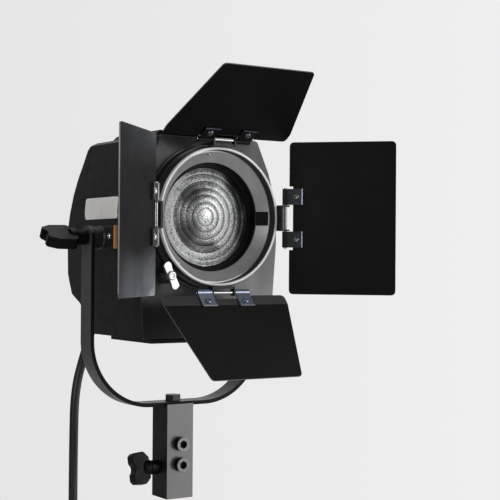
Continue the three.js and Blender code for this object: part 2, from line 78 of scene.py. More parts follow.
# ------------------------------------------------------------------ materials
class Nodes:
    def __init__(self, name):
        self.mat = bpy.data.materials.new(name)
        self.mat.use_nodes = True
        self.t = self.mat.node_tree
        self.b = next(n for n in self.t.nodes if n.type == "BSDF_PRINCIPLED")
        self.coord = self.t.nodes.new("ShaderNodeTexCoord").outputs["Object"]

    def link(self, a, b):
        self.t.links.new(a, b)

    def mapping(self, scale=(1, 1, 1), rot=(0, 0, 0)):
        m = self.t.nodes.new("ShaderNodeMapping")
        m.inputs["Scale"].default_value = scale
        m.inputs["Rotation"].default_value = rot
        self.link(self.coord, m.inputs["Vector"])
        return m.outputs["Vector"]

    def noise(self, scale, detail=3, rough=0.55, vec=None):
        n = self.t.nodes.new("ShaderNodeTexNoise")
        n.inputs["Scale"].default_value = scale
        n.inputs["Detail"].default_value = detail
        n.inputs["Roughness"].default_value = rough
        self.link(vec or self.coord, n.inputs["Vector"])
        return n.outputs["Fac"]

    def voronoi(self, scale, vec=None, feature="F1"):
        n = self.t.nodes.new("ShaderNodeTexVoronoi")
        n.feature = feature
        n.inputs["Scale"].default_value = scale
        self.link(vec or self.coord, n.inputs["Vector"])
        return n.outputs["Distance"]

    def ramp(self, fac, stops):
        r = self.t.nodes.new("ShaderNodeValToRGB")
        e = r.color_ramp.elements
        while len(e) < len(stops):
            e.new(0.5)
        for el, (pos, v) in zip(e, stops):
            el.position = pos
            el.color = (v, v, v, 1) if not hasattr(v, "__len__") else (*v, 1)
        self.link(fac, r.inputs["Fac"])
        return r.outputs["Color"]

    def remap(self, fac, a, b, c, d):
        m = self.t.nodes.new("ShaderNodeMapRange")
        for k, v in zip(("From Min", "From Max", "To Min", "To Max"), (a, b, c, d)):
            m.inputs[k].default_value = v
        self.link(fac, m.inputs["Value"])
        return m.outputs["Result"]

    def mix(self, fac, a, b, mode="MIX"):
        m = self.t.nodes.new("ShaderNodeMix")
        m.data_type = "RGBA"
        m.blend_type = mode
        ins = {i.identifier: i for i in m.inputs}
        for key, v in (("Factor_Float", fac), ("A_Color", a), ("B_Color", b)):
            if isinstance(v, bpy.types.NodeSocket):
                self.link(v, ins[key])
            elif hasattr(v, "__len__"):
                ins[key].default_value = (*v, 1)
            else:
                ins[key].default_value = v
        return next(o for o in m.outputs if o.identifier == "Result_Color")

    def math(self, op, a, b=None):
        m = self.t.nodes.new("ShaderNodeMath")
        m.operation = op
        for i, v in enumerate((a, b)):
            if v is None:
                continue
            if isinstance(v, bpy.types.NodeSocket):
                self.link(v, m.inputs[i])
            else:
                m.inputs[i].default_value = v
        return m.outputs[0]

    def bump(self, height, strength, distance, normal=None):
        n = self.t.nodes.new("ShaderNodeBump")
        n.inputs["Strength"].default_value = strength
        n.inputs["Distance"].default_value = distance
        self.link(height, n.inputs["Height"])
        if normal:
            self.link(normal, n.inputs["Normal"])
        return n.outputs["Normal"]

    def set(self, **k):
        for name, v in k.items():
            s = self.b.inputs[name.replace("_", " ")]
            if isinstance(v, bpy.types.NodeSocket):
                self.link(v, s)
            elif hasattr(v, "__len__") and len(v) == 3:
                s.default_value = (*v, 1)
            else:
                s.default_value = v
        return self.mat


def grey(v, tint=(1, 1, 1)):
    return tuple(v * t for t in tint)


def powder(name, tone, rough=0.5, grain=2600, strength=0.22, tint=(1.0, 1.01, 1.04), spec=0.5):
    """Fine textured powder coat: pebbled grain, slow tone changes, a few rubbed spots and dust."""
    n = Nodes(name)
    slow = n.noise(14, 4)
    cells = n.voronoi(grain * 0.45)
    fine = n.noise(grain, 2)
    c = n.mix(n.remap(slow, 0.3, 0.7, 0, 1), grey(tone * 0.82, tint), grey(tone * 1.2, tint))
    rub = n.ramp(n.noise(46, 6, 0.7), [(0.0, 0), (0.66, 0), (0.78, 1)])
    c = n.mix(n.math("MULTIPLY", rub, 0.35), c, grey(tone * 2.1 + 0.006, tint))
    dust = n.ramp(n.voronoi(240), [(0.0, 1), (0.045, 0), (1.0, 0)])
    c = n.mix(n.math("MULTIPLY", dust, 0.30), c, (0.16, 0.16, 0.16))
    r = n.remap(n.noise(90, 4), 0.25, 0.75, rough - 0.06, rough + 0.08)
    h = n.math("ADD", n.math("MULTIPLY", cells, 0.6), fine)
    return n.set(Base_Color=c, Roughness=r, Metallic=0.0, Specular_IOR_Level=spec, Normal=n.bump(h, strength, 0.00025))


def sheet_black(name, tone, rough=0.48, spec=0.28, tint=(1.0, 1.0, 1.03)):
    """Matt black painted sheet: faint orange peel, soft rub marks, sparse dust."""
    n = Nodes(name)
    slow = n.noise(9, 5, 0.6)
    c = n.mix(n.remap(slow, 0.3, 0.7, 0, 1), grey(tone * 0.8, tint), grey(tone * 1.25, tint))
    dust = n.ramp(n.voronoi(150), [(0.0, 1), (0.02, 0), (1.0, 0)])
    c = n.mix(n.math("MULTIPLY", dust, 0.45), c, (0.20, 0.20, 0.20))
    scr = n.ramp(n.noise(60, 5, 0.75, n.mapping((1, 0.15, 1), (0.3, 0.5, 0.2))), [(0.0, 0), (0.70, 0), (0.74, 1), (0.78, 0), (1.0, 0)])
    c = n.mix(n.math("MULTIPLY", scr, 0.10), c, (0.10, 0.10, 0.105))
    r = n.remap(n.noise(30, 5), 0.25, 0.75, rough - 0.05, rough + 0.07)
    return n.set(Base_Color=c, Roughness=r, Metallic=0.0, Specular_IOR_Level=spec, Normal=n.bump(n.noise(1500, 3), 0.10, 0.00015))


def metal(name, tone, rough=0.3, tint=(1, 1, 1.01), brushed=None, grain=0.05, metallic=1.0, stain=0.18):
    """Bare or plated metal: fine grain or brushing, uneven dullness, faint stains."""
    n = Nodes(name)
    slow = n.noise(40, 5, 0.6)
    c = n.mix(n.math("MULTIPLY", n.remap(slow, 0.35, 0.75, 0, 1), stain * 2), grey(tone, tint), grey(tone * 0.55, tint))
    vec = n.mapping(brushed) if brushed else None
    fine = n.noise(1400 if not brushed else 900, 3, 0.6, vec)
    r = n.remap(n.math("ADD", fine, n.math("MULTIPLY", slow, 0.6)), 0.4, 1.2, rough - 0.08, rough + 0.12)
    return n.set(Base_Color=c, Roughness=r, Metallic=metallic, Normal=n.bump(fine, grain, 0.0002))


def moulded(name, tone, rough=0.5, spec=0.45):
    """Moulded plastic or rubber: spark-eroded grain and slightly polished high spots."""
    n = Nodes(name)
    slow = n.noise(35, 4)
    c = n.mix(n.remap(slow, 0.3, 0.7, 0, 1), grey(tone * 0.8), grey(tone * 1.3))
    r = n.remap(n.noise(120, 4), 0.3, 0.7, rough - 0.07, rough + 0.07)
    return n.set(Base_Color=c, Roughness=r, Specular_IOR_Level=spec, Normal=n.bump(n.voronoi(1500), 0.16, 0.0002))


M = {}
M["powder"] = powder("powder_coat", 0.0062, 0.46, spec=0.25)
M["yoke"] = powder("yoke_coat", 0.042, 0.40, spec=0.5)
M["cover"] = powder("cast_cover", 0.0085, 0.52, grain=1700, strength=0.30, spec=0.28)
M["black_edge"] = sheet_black("black_enamel", 0.006, 0.42, 0.30)
M["satin"] = sheet_black("satin_black", 0.014, 0.38, 0.5)
M["seat"] = sheet_black("matt_seat", 0.006, 0.62, 0.15)
M["leaf"] = sheet_black("leaf_black", 0.0030, 0.50, 0.10)
# lighter copy of the leaf black for the bottom leaf's panel: painted light
M["leaf_low"] = sheet_black("leaf_black_painted_lighter", 0.0052, 0.50, 0.14)
# much lighter copy for the bottom leaf's folded base strip: painted sheen on the fold
M["leaf_strip_painted_light"] = sheet_black("leaf_fold_painted_sheen", 0.036, 0.46, 0.30)
# lighter metal on the leaves' cut edges: painted highlight for their thin bright edge lines
M["leaf_edge_painted_highlight"] = metal("leaf_edge_painted_highlight", 0.17, 0.42, metallic=0.6)
M["ring"] = metal("ring_metal", 0.84, 0.52, brushed=(1, 0.1, 1), grain=0.06, metallic=0.15)
M["cone"] = metal("cone_metal", 0.54, 0.46, grain=0.10, metallic=0.85, stain=0.25)
M["steel"] = metal("bright_steel", 0.80, 0.22, grain=0.03)
# darker copy of the bright steel for the hinge rods: painted shade that tones down their reflections
M["rod"] = metal("rod_steel_painted_shade", 0.34, 0.22, grain=0.03)
M["wing"] = metal("wing_zinc", 0.60, 0.36, grain=0.12, stain=0.35)
M["screw"] = metal("screw_steel", 0.17, 0.26, grain=0.05)
M["clip_grey"] = metal("grey_steel", 0.20, 0.40, grain=0.08)
M["clip"] = metal("dark_steel", 0.022, 0.36, tint=(0.96, 1.0, 1.1), grain=0.08)
M["zinc"] = metal("blue_zinc", 0.27, 0.34, tint=(0.86, 0.98, 1.22), grain=0.06, stain=0.3)
M["clip_lip_painted_highlight"] = metal("clip_lip_painted_highlight", 0.55, 0.30, tint=(0.95, 1.0, 1.06), grain=0.05)
M["bracket"] = powder("bracket_metal", 0.044, 0.27, grain=1900, strength=0.12, spec=1.0)
_b = next(n for n in M["bracket"].node_tree.nodes if n.type == "BSDF_PRINCIPLED")
_b.inputs["Coat Weight"].default_value, _b.inputs["Coat Roughness"].default_value = 0.7, 0.22
M["plastic"] = moulded("knob_plastic", 0.0022, 0.42, 0.12)
M["rubber"] = moulded("rubber", 0.010, 0.36, 0.5)
M["mirror"] = metal("mirror", 0.90, 0.10, grain=0.01, stain=0.05)
M["brass"] = metal("brass", 0.55, 0.30, tint=(1.0, 0.78, 0.42), grain=0.05)


def paper_material():
    n = Nodes("blank_label")
    c = n.mix(n.noise(500, 4, 0.7), (0.90, 0.875, 0.84), (0.99, 0.965, 0.93))
    c = n.mix(n.math("MULTIPLY", n.ramp(n.noise(70, 5), [(0.0, 0), (0.55, 0), (0.75, 1)]), 0.5), c, (0.66, 0.63, 0.59))
    return n.set(Base_Color=c, Roughness=n.remap(n.noise(200), 0.3, 0.7, 0.55, 0.75), Normal=n.bump(n.noise(1800, 4), 0.2, 0.0002))


def amber_material():
    n = Nodes("amber_strip")
    c = n.mix(n.noise(160, 3), (0.50, 0.24, 0.07), (0.68, 0.36, 0.12))
    return n.set(Base_Color=c, Roughness=0.4, Normal=n.bump(n.noise(900), 0.1, 0.0002))


def ceramic_material():
    n = Nodes("ceramic")
    c = n.mix(n.noise(60, 4), (0.62, 0.59, 0.51), (0.74, 0.71, 0.64))
    return n.set(Base_Color=c, Roughness=0.6, Normal=n.bump(n.noise(900), 0.15, 0.0003))


def lamp_glass_material():
    n = Nodes("lamp_glass")
    c = n.mix(n.noise(30, 2), (0.95, 0.96, 0.97), (1, 1, 1))
    return n.set(Base_Color=c, Roughness=0.04, Transmission_Weight=1.0, IOR=1.46, Normal=n.bump(n.noise(60), 0.03, 0.0005))


def lens_material():
    """Pressed glass with a stippled back. Its base colour carries painted light: broad bright and dark patches, a
    bright band round the left rim, and a painted highlight with painted shade at each step.
    """
    n = Nodes("lens_glass")
    stip = n.voronoi(700)
    sep = n.t.nodes.new("ShaderNodeSeparateXYZ")
    n.link(n.coord, sep.inputs[0])

    def painted_patch(cx, cz, rx, rz, gain):
        # soft ellipse in the lens plane, in millimetres from the lens axis: a painted bright patch, or a painted dark
        # one where the gain is negative
        u = n.math("DIVIDE", n.math("SUBTRACT", sep.outputs["X"], cx * MM), rx * MM)
        w = n.math("DIVIDE", n.math("SUBTRACT", sep.outputs["Z"], (LIFT.z + cz) * MM), rz * MM)
        d = n.math("SQRT", n.math("ADD", n.math("MULTIPLY", u, u), n.math("MULTIPLY", w, w)))
        return n.math("MULTIPLY", n.remap(d, 1.0, 0.35, 0.0, 1.0), gain)

    # painted light: mottled brightness with painted bright and dark patches on top
    t = n.remap(n.noise(26, 3, 0.5), 0.3, 0.7, 0.32, 0.66)
    for args in ((25, 4, 22, 46, 0.95), (0, 0, 15, 17, 0.30), (-8, -50, 46, 14, 0.25), (-6, 48, 44, 12, 0.12),
                 (-26, -20, 24, 24, -0.48), (-22, 28, 26, 16, -0.38), (4, -36, 24, 9, -0.30), (44, 36, 26, 34, -0.45), (54, -10, 12, 40, -0.30)):
        t = n.math("ADD", t, painted_patch(*args))
    dx = sep.outputs["X"]
    dz = n.math("SUBTRACT", sep.outputs["Z"], LIFT.z * MM)
    rad = n.math("SQRT", n.math("ADD", n.math("MULTIPLY", dx, dx), n.math("MULTIPLY", dz, dz)))
    # painted glow in a band along the outer rim at the left
    left = n.math("MULTIPLY", n.remap(rad, 0.041, 0.047, 0.0, 1.0), n.remap(n.math("ADD", dx, n.math("MULTIPLY", dz, 0.25)), -0.008, -0.044, 0.0, 1.0))
    t = n.math("ADD", t, n.math("MULTIPLY", left, 0.80))
    # fine speckle that breaks up the painted light
    painted_light_speckle = n.remap(n.noise(520, 4, 0.75), 0.38, 0.62, 0.25, 1.45)
    t = n.math("MULTIPLY", t, painted_light_speckle)
    # painted shade just inside each step edge and a painted highlight on the edge itself
    stops = [(0.0, 0.62)]
    for e in (12.0, 19.6, 28.5, 36.7, 45.5, 54.4):
        stops += [((e - 2.8) / 62, 0.46), ((e - 1.0) / 62, 0.22), (e / 62, 1.0), ((e + 1.0) / 62, 0.62)]
    stops += [(0.97, 0.5), (1.0, 0.3)]
    painted_step_bands = n.ramp(n.math("DIVIDE", rad, 0.062), stops)
    t = n.math("MULTIPLY", t, n.math("MULTIPLY", painted_step_bands, 2.1))
    t = n.math("ADD", t, n.math("MULTIPLY", n.remap(painted_step_bands, 0.70, 1.0, 0.0, 1.0), 0.12))
    c = n.ramp(t, [(0.0, (0.012, 0.0125, 0.013)), (0.35, (0.17, 0.175, 0.18)), (1.0, (0.93, 0.94, 0.95))])
    r = n.remap(stip, 0.0, 0.7, 0.08, 0.26)
    nrm = n.bump(stip, 0.34, 0.0006)
    nrm = n.bump(n.noise(1700, 3), 0.20, 0.0004, nrm)
    return n.set(Base_Color=c, Roughness=r, Metallic=0.15, Specular_IOR_Level=0.6, Coat_Weight=0.6, Coat_Roughness=0.03, Normal=nrm)


def leaf_left_material():
    """Glossier black-painted sheet whose base colour carries a soft bluish painted sheen low down and towards the hinge
    side, and a fainter one near the top.
    """
    n = Nodes("leaf_black_painted_sheen")
    sep = n.t.nodes.new("ShaderNodeSeparateXYZ")
    n.link(n.coord, sep.inputs[0])
    # painted reflection: base colour lifted low down, towards the hinge and faintly at the top
    low = n.remap(n.math("ADD", sep.outputs["Z"], n.math("MULTIPLY", n.noise(12, 3), 0.05)), 0.345, 0.285, 0.0, 1.0)
    near = n.remap(sep.outputs["X"], -0.190, -0.100, 0.15, 1.0)
    painted_sheen_low = n.math("MULTIPLY", low, near)
    top = n.math("MULTIPLY", n.remap(sep.outputs["Z"], 0.405, 0.448, 0.0, 0.22), near)
    t = n.math("MULTIPLY", n.math("ADD", painted_sheen_low, top), n.remap(n.noise(16, 4, 0.6), 0.25, 0.75, 0.35, 1.25))
    c = n.ramp(t, [(0.0, (0.0070, 0.0072, 0.0078)), (0.5, (0.17, 0.18, 0.20)), (1.0, (0.52, 0.54, 0.58))])
    dust = n.ramp(n.voronoi(150), [(0.0, 1), (0.02, 0), (1.0, 0)])
    c = n.mix(n.math("MULTIPLY", dust, 0.4), c, (0.20, 0.20, 0.20))
    r = n.remap(n.noise(30, 5), 0.25, 0.75, 0.36, 0.48)
    return n.set(Base_Color=c, Roughness=r, Specular_IOR_Level=0.20, Normal=n.bump(n.noise(1500, 3), 0.10, 0.00015))


def plate_material():
    """Powder coat whose base colour runs from near black at the left to light grey at the right and downwards, a
    painted sheen and painted shade, with sparse dust specks.
    """
    n = Nodes("front_plate_painted_sheen")
    sep = n.t.nodes.new("ShaderNodeSeparateXYZ")
    n.link(n.coord, sep.inputs[0])
    # painted sheen: brighter to the right and downwards
    across = n.math("SUBTRACT", sep.outputs["X"], n.math("MULTIPLY", n.math("SUBTRACT", sep.outputs["Z"], 0.355), 0.40))
    t = n.remap(n.math("ADD", across, n.math("MULTIPLY", n.noise(20, 4), 0.02)), -0.05, 0.13, 0.0, 1.0)
    c = n.ramp(t, [(0.0, (0.0050, 0.0051, 0.0055)), (0.45, (0.026, 0.0265, 0.0275)), (1.0, (0.27, 0.272, 0.278))])
    c = n.mix(n.math("MULTIPLY", n.ramp(n.voronoi(240), [(0.0, 1), (0.045, 0), (1.0, 0)]), 0.25), c, (0.16, 0.16, 0.16))
    h = n.math("ADD", n.math("MULTIPLY", n.voronoi(1170), 0.6), n.noise(2600, 2))
    return n.set(Base_Color=c, Roughness=n.remap(n.noise(90, 4), 0.25, 0.75, 0.36, 0.48), Specular_IOR_Level=0.42, Normal=n.bump(h, 0.22, 0.00025))


M["plate"] = plate_material()
M["leaf_gloss"] = leaf_left_material()
M["label"] = paper_material()
M["amber"] = amber_material()
M["ceramic"] = ceramic_material()
M["lamp_glass"] = lamp_glass_material()
M["lens"] = lens_material()


# ------------------------------------------------------------------ shapes, in millimetres
class Part:
    def __init__(self, v=(), f=(), m=None):
        self.v = [Vector(p) for p in v]
        self.f = [tuple(x) for x in f]
        self.m = list(m) if m is not None else [0] * len(self.f)

    def __add__(self, o):
        k = len(self.v)
        return Part(self.v + o.v, self.f + [tuple(i + k for i in f) for f in o.f], self.m + o.m)

    def tf(self, mat):
        return Part([mat @ p for p in self.v], self.f, self.m)

    def paint(self, k):
        return Part(self.v, self.f, [k] * len(self.f))


def RY(a):
    # a turn about +Y that takes +Z to +X, as the part's source has it
    return Matrix.Rotation(a, 4, "Y")


def RX(a):
    return Matrix.Rotation(a, 4, "X")


def TR(x, y, z):
    return Matrix.Translation((x, y, z))


def lathe(prof, n=96, axis="y"):
    """Profile of (radius, along) turned about the axis. A profile that starts and ends off the axis closes on itself."""
    v, f, rows = [], [], []
    for r, t in prof:
        if r < 1e-6:
            rows.append([len(v)])
            v.append((0, t, 0))
        else:
            rows.append(list(range(len(v), len(v) + n)))
            v += [(r * cos(2 * pi * i / n), t, r * sin(2 * pi * i / n)) for i in range(n)]
    pairs = list(zip(rows, rows[1:]))
    if prof[0][0] > 1e-6 and prof[-1][0] > 1e-6:
        pairs.append((rows[-1], rows[0]))
    for a, b in pairs:
        if len(a) == 1 and len(b) == 1:
            continue
        for i in range(n):
            j = (i + 1) % n
            q = [a[i % len(a)], a[j % len(a)], b[j % len(b)], b[i % len(b)]]
            q = [x for k, x in enumerate(q) if x not in q[:k]]
            if len(q) > 2:
                f.append(q)
    p = Part(v, f)
    if axis == "x":
        p = p.tf(Matrix(((0, 1, 0, 0), (1, 0, 0, 0), (0, 0, 1, 0), (0, 0, 0, 1))))
    if axis == "z":
        p = p.tf(Matrix(((1, 0, 0, 0), (0, 0, 1, 0), (0, 1, 0, 0), (0, 0, 0, 1))))
    return p


def rod(axis, r, a, b, c=(0, 0), n=40, ch=0.5, r2=None):
    """Round bar with chamfered ends along an axis, from a to b; c is the other two coordinates in X, Y, Z order."""
    r2 = r if r2 is None else r2
    ch = min(ch, r * 0.5, r2 * 0.5, (b - a) * 0.3)
    p = lathe([(0, a), (r - ch, a), (r, a + ch), (r2, b - ch), (r2 - ch, b), (0, b)], n, axis)
    off = {"x": (0, c[0], c[1]), "y": (c[0], 0, c[1]), "z": (c[0], c[1], 0)}[axis]
    return p.tf(TR(*off))


def prism(axis, outline, a, b, holes=(), side=0, cap=0):
    """Outline in the other two coordinates (X, Y, Z order), extruded along the axis from a to b."""
    loops = [list(outline)] + [list(h) for h in holes]
    put = {"x": lambda u, w, t: (t, u, w), "y": lambda u, w, t: (u, t, w), "z": lambda u, w, t: (u, w, t)}[axis]
    flat = [p for l in loops for p in l]
    k = len(flat)
    v = [put(u, w, a) for u, w in flat] + [put(u, w, b) for u, w in flat]
    f, m = [], []
    if holes:
        tris = tessellate_polygon([[Vector((u, w, 0)) for u, w in l] for l in loops])
        for t in tris:
            f.append(t); m.append(cap)
            f.append(tuple(x + k for x in t)); m.append(cap)
    else:
        f.append(tuple(range(k))); m.append(cap)
        f.append(tuple(range(k, 2 * k))); m.append(cap)
    o = 0
    for l in loops:
        for i in range(len(l)):
            j = (i + 1) % len(l)
            f.append((o + i, o + j, o + j + k, o + i + k)); m.append(side)
        o += len(l)
    return Part(v, f, m)


def box(x0, x1, y0, y1, z0, z1):
    return prism("z", [(x0, y0), (x1, y0), (x1, y1), (x0, y1)], z0, z1)


def circle(r, n=40, cx=0, cy=0, start=0.0):
    return [(cx + r * cos(2 * pi * i / n + start), cy + r * sin(2 * pi * i / n + start)) for i in range(n)]


def rounded(pts, r, n=8):
    out = []
    for i, p in enumerate(pts):
        a, b = pts[i - 1], pts[(i + 1) % len(pts)]
        rr = r[i] if hasattr(r, "__len__") else r
        if not rr:
            out.append(p)
            continue
        u, w = (a[0] - p[0], a[1] - p[1]), (b[0] - p[0], b[1] - p[1])
        lu, lw = hypot(*u), hypot(*w)
        half = math.acos(max(-1, min(1, (u[0] * w[0] + u[1] * w[1]) / lu / lw))) / 2
        d = min(rr / math.tan(half), lu / 2.01, lw / 2.01)
        p0 = (p[0] + u[0] / lu * d, p[1] + u[1] / lu * d)
        p1 = (p[0] + w[0] / lw * d, p[1] + w[1] / lw * d)
        for k in range(n + 1):
            t = k / n
            s = 1 - t
            out.append((s * s * p0[0] + 2 * s * t * p[0] + t * t * p1[0], s * s * p0[1] + 2 * s * t * p[1] + t * t * p1[1]))
    return out


def tube_mesh(points, r, n=20):
    """Round tube along points, with its frame carried along, in the points' units."""
    pts = [Vector(p) for p in points]
    v, f = [], []
    tan = []
    for i in range(len(pts)):
        a, b = pts[max(i - 1, 0)], pts[min(i + 1, len(pts) - 1)]
        tan.append((b - a).normalized())
    u = tan[0].orthogonal().normalized()
    for i, (p, t) in enumerate(zip(pts, tan)):
        u = (u - t * u.dot(t)).normalized()
        w = t.cross(u)
        v += [p + (u * cos(2 * pi * k / n) + w * sin(2 * pi * k / n)) * r for k in range(n)]
        if i:
            o = (i - 1) * n
            f += [(o + k, o + (k + 1) % n, o + n + (k + 1) % n, o + n + k) for k in range(n)]
    f.append(tuple(range(n)))
    f.append(tuple(range(len(v) - n, len(v))))
    return Part(v, f)


def to_mesh(name, part, metres=False):
    me = bpy.data.meshes.new(name)
    co = [tuple(p) if metres else tuple((p + LIFT) * MM) for p in part.v]
    me.from_pydata(co, [], [list(x) for x in part.f])
    me.polygons.foreach_set("material_index", part.m)
    bm = bmesh.new()
    bm.from_mesh(me)
    bmesh.ops.recalc_face_normals(bm, faces=bm.faces)
    bm.to_mesh(me)
    bm.free()
    return me


def csg(a, b, op):
    """Exact boolean of two parts."""
    oa = bpy.data.objects.new("csg_a", to_mesh("csg_a", a))
    ob = bpy.data.objects.new("csg_b", to_mesh("csg_b", b))
    for o in (oa, ob):
        scene.collection.objects.link(o)
    m = oa.modifiers.new("b", "BOOLEAN")
    m.operation, m.object, m.solver = op, ob, "EXACT"
    bpy.context.view_layer.update()
    ev = oa.evaluated_get(bpy.context.evaluated_depsgraph_get())
    me = bpy.data.meshes.new_from_object(ev)
    out = Part([Vector(v.co) / MM - LIFT for v in me.vertices], [tuple(p.vertices) for p in me.polygons])
    for o in (oa, ob):
        d = o.data
        bpy.data.objects.remove(o)
        bpy.data.meshes.remove(d)
    bpy.data.meshes.remove(me)
    return out


def finish_piece(o, bevel=None, seg=2, angle=35, sharp=38):
    me = o.data
    me.polygons.foreach_set("use_smooth", [True] * len(me.polygons))
    if bevel:
        m = o.modifiers.new("bevel", "BEVEL")
        m.width, m.segments, m.limit_method, m.angle_limit = bevel * MM, seg, "ANGLE", radians(angle)
        m.use_clamp_overlap = True
        m.miter_outer = "MITER_ARC"
        w = o.modifiers.new("normals", "WEIGHTED_NORMAL")
        w.keep_sharp = True
        w.weight = 80
    else:
        me.set_sharp_from_angle(angle=radians(sharp))


def piece(name, part, mats, body, replaces=(), bevel=None, seg=2, angle=35, sharp=38, metres=False):
    me = to_mesh(name, part, metres)
    for k in ([mats] if isinstance(mats, str) else mats):
        me.materials.append(M[k])
    o = bpy.data.objects.new(name, me)
    scene.collection.objects.link(o)
    finish_piece(o, bevel, seg, angle, sharp)
    if replaces:
        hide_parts(*([replaces] if isinstance(replaces, str) else replaces))
    if body:
        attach(o, body)
    return o


def dress(node, mat, bevel=0.6, seg=2, angle=30):
    """A CAD node whose shape is right: new material, cleaned facets and softened edges."""
    o = NODES[node]
    me = o.data
    if "custom_normal" in me.attributes:
        me.attributes.remove(me.attributes["custom_normal"])
    for a in ("sharp_edge", "sharp_face"):
        if a in me.attributes:
            me.attributes.remove(me.attributes[a])
    for i in range(len(me.materials)):
        me.materials[i] = M[mat]
    if not len(me.materials):
        me.materials.append(M[mat])
    me.polygons.foreach_set("use_smooth", [True] * len(me.polygons))
    w = o.modifiers.new("weld", "WELD")
    w.merge_threshold = 2e-6
    d = o.modifiers.new("flats", "DECIMATE")
    d.decimate_type, d.angle_limit = "DISSOLVE", radians(0.6)
    b = o.modifiers.new("bevel", "BEVEL")
    b.width, b.segments, b.limit_method, b.angle_limit = bevel * MM, seg, "ANGLE", radians(angle)
    b.use_clamp_overlap = True
    n = o.modifiers.new("normals", "WEIGHTED_NORMAL")
    n.keep_sharp, n.weight = True, 80
    return o


# ------------------------------------------------------------------ mains cord
CORD_D = 0.012
LEAD = [(-62, 214.4, -137), (-62.3, 219.5, -145), (-63, 225.5, -157), (-64.5, 232, -173), (-67.5, 237, -191),
        (-71.5, 239.6, -210), (-74.8, 240, -230), (-76.5, 240, -250), (-77.2, 240, -280), (-77.5, 240, -320),
        (-77.6, 240, -355), (-77.6, 240.3, -380), (-77.6, 243.5, -399), (-77.6, 252, -412.5), (-77.6, 263, -421)]
COIL_C, COIL_R = (240, -484), 66.0


def catmull(pts, steps=8):
    """Centripetal Catmull-Rom through points."""
    pts = [Vector(p) for p in pts]
    ext = [2 * pts[0] - pts[1]] + pts + [2 * pts[-1] - pts[-2]]
    out = []
    for i in range(1, len(ext) - 2):
        p0, p1, p2, p3 = ext[i - 1:i + 3]
        t0 = 0.0
        t1 = t0 + (p1 - p0).length ** 0.5
        t2 = t1 + (p2 - p1).length ** 0.5
        t3 = t2 + (p3 - p2).length ** 0.5
        for k in range(steps):
            t = t1 + (t2 - t1) * k / steps
            a1 = p0 * ((t1 - t) / (t1 - t0)) + p1 * ((t - t0) / (t1 - t0))
            a2 = p1 * ((t2 - t) / (t2 - t1)) + p2 * ((t - t1) / (t2 - t1))
            a3 = p2 * ((t3 - t) / (t3 - t2)) + p3 * ((t - t2) / (t3 - t2))
            b1 = a1 * ((t2 - t) / (t2 - t0)) + a2 * ((t - t0) / (t2 - t0))
            b2 = a2 * ((t3 - t) / (t3 - t1)) + a3 * ((t - t1) / (t3 - t1))
            out.append(b1 * ((t2 - t) / (t2 - t1)) + b2 * ((t - t1) / (t2 - t1)))
    out.append(pts[-1])
    return out


coil_pts = []
TURN0, TURN = radians(60), radians(1140)
STEPS = 160
for k in range(STEPS + 1):
    s = k / STEPS
    phi = TURN0 - TURN * s
    coil_pts.append((-77.6 + 38.1 * s, COIL_C[0] + COIL_R * cos(phi), COIL_C[1] + COIL_R * sin(phi)))
lead_pts = catmull(LEAD + [coil_pts[0]], 6)
drop_pts = [(-39.5, 306, -484 - d) for d in (4, 10, 18, 28, 38, 48.4)]
cord_mm = [Vector(p) for p in lead_pts] + [Vector(p) for p in coil_pts[1:]] + [Vector(p) for p in drop_pts]
cord_path = [P(*p) for p in cord_mm]
cord_obj = piece("mains_cord", tube_mesh(cord_path, CORD_D / 2, 20), "rubber", None, ("cord_lead", "cord_coil"), metres=True, sharp=60)

# hook-and-loop tie round the turns, at the rear of the coil
tie = []
for k in range(5):
    a = radians(-14 + 7 * k)
    rr = [(-84.4, COIL_R - 6.9), (-84.4, COIL_R + 6.9), (-81, COIL_R + 7.4), (-36, COIL_R + 7.4), (-32.8, COIL_R + 6.9), (-32.8, COIL_R - 6.9), (-36, COIL_R - 7.4), (-81, COIL_R - 7.4)]
    tie.append([(x, COIL_C[0] + r * cos(a), COIL_C[1] + r * sin(a)) for x, r in rr])
tie_in = []
for k in range(5):
    a = radians(-14 + 7 * k)
    rr = [(-83.8, COIL_R - 6.4), (-83.8, COIL_R + 6.4), (-81, COIL_R + 6.6), (-36, COIL_R + 6.6), (-33.4, COIL_R + 6.4), (-33.4, COIL_R - 6.4), (-36, COIL_R - 6.6), (-81, COIL_R - 6.6)]
    tie_in.append([(x, COIL_C[0] + r * cos(a), COIL_C[1] + r * sin(a)) for x, r in rr])
tv, tf_ = [], []
for ring_ in tie:
    tv += ring_
for ring_ in tie_in:
    tv += ring_
for k in range(4):
    for i in range(8):
        j = (i + 1) % 8
        tf_.append((k * 8 + i, k * 8 + j, k * 8 + 8 + j, k * 8 + 8 + i))
        tf_.append((40 + k * 8 + i, 40 + k * 8 + j, 40 + k * 8 + 8 + j, 40 + k * 8 + 8 + i))
for i in range(8):
    j = (i + 1) % 8
    tf_.append((i, j, 40 + j, 40 + i))
    tf_.append((32 + i, 32 + j, 72 + j, 72 + i))
cord_tie = piece("cord_tie", Part(tv, tf_), "rubber", "yoke", (), bevel=0.2)

